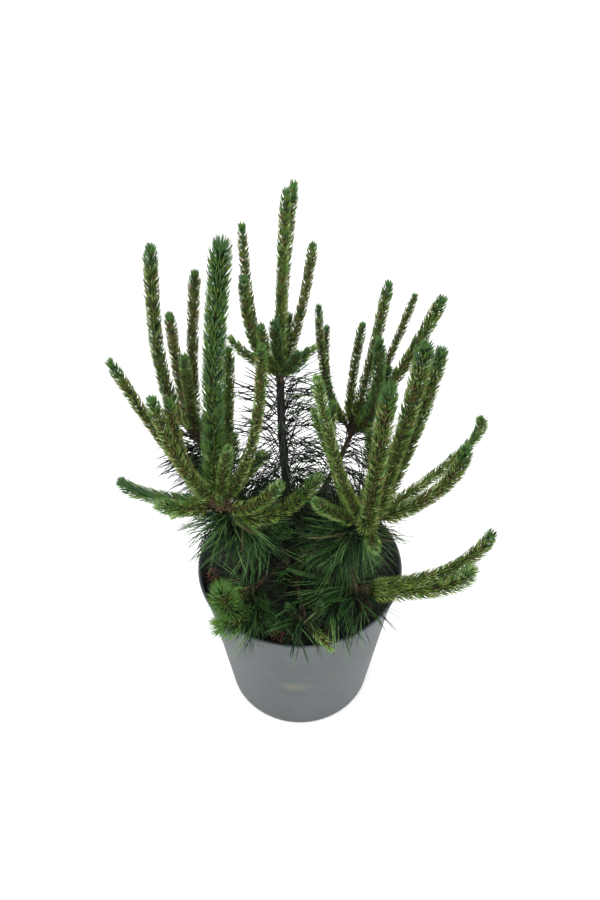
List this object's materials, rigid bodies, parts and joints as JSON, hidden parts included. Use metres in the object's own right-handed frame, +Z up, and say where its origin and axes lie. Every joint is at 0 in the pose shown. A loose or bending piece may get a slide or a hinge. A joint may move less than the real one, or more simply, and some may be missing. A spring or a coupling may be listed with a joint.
{
  "type": "mugo pine in a nursery pot",
  "caption": "Young mugo pine with a short trunk, whorls of upright needle-covered shoots and long dark older needles, standing in the compost of a plain grey nursery pot.",
  "frame": {"origin": "middle of the pot's flat underside, in the plane that it stands on", "axes": "+Z up along the pot's axis; +X to the right and -Y towards the viewer in the plant's front view"},
  "size_m": [0.4904, 0.3288, 0.7856],
  "materials": {
    "pot": "moulded grey polypropylene with a slight sheen",
    "compost": "dark moist bark and peat compost",
    "feed_granules": "pressed red-brown coated granules",
    "bark": "rough scaly brown bark",
    "needles": "waxy mid green needles on brown shoots",
    "old_needles": "waxy dark green older needles"
  },
  "bodies": {
    "root": {"pot": "pot", "compost": "compost", "feed_cone_1": "feed_granules", "feed_cone_2": "feed_granules", "feed_cone_3": "feed_granules", "feed_cone_4": "feed_granules", "trunk": "bark", "bough_left": "bark", "bough_back_left": "bark", "bough_right": "bark", "bough_back_right": "bark", "bough_front_right": "bark", "bough_front_left": "bark", "bough_front_low": "bark", "bough_low_back_left": "bark", "bough_low_back_right": "bark", "shoots_leader": "needles", "shoots_left": "needles", "shoots_back_left": "needles", "shoots_right": "needles", "shoots_back_right": "needles", "shoots_front_right": "needles", "shoots_front_left": "needles", "shoots_front_low": "needles", "shoots_low_back_left": "needles", "shoots_low_back_right": "needles", "trunk_needles_lower": "old_needles", "trunk_needles_upper": "old_needles"}
  },
  "joints": []
}
